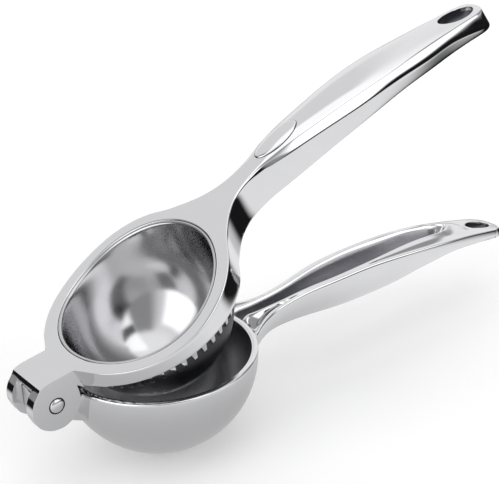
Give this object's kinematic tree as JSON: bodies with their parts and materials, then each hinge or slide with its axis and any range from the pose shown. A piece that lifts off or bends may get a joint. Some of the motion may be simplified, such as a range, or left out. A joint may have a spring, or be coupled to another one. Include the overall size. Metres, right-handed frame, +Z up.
{
  "type": "hinged lemon squeezer",
  "caption": "Two-lever citrus press: a strainer bowl on the lower handle, a finned press cup in the ring of the upper handle, hinged on one rivet at the end.",
  "frame": {"origin": "centre of the flat foot under the bowl", "axes": "+X runs from the bowl towards the handles' tips, +Z is up, the hinge rivet lies along Y"},
  "size_m": [0.2336, 0.072, 0.1295],
  "materials": {
    "polished_alloy": "cast and mirror polished",
    "satin_steel": "pressed stainless steel, satin polished",
    "rivet_steel": "domed rivet heads, polished",
    "plate_metal": "thin polished plate, bare"
  },
  "bodies": {
    "lower_lever": {"lower_arm": "polished_alloy"},
    "upper_lever": {"upper_arm": "polished_alloy", "press_cup": "satin_steel", "hinge_rivet": "rivet_steel", "grip_plate": "plate_metal"}
  },
  "joints": [
    {"name": "lever_hinge", "type": "hinge", "parent": "lower_lever", "child": "upper_lever", "pos_m": [-0.0468, 0, 0.03741], "axis": [0, -1, 0], "range_deg": [-23, 121]}
  ]
}
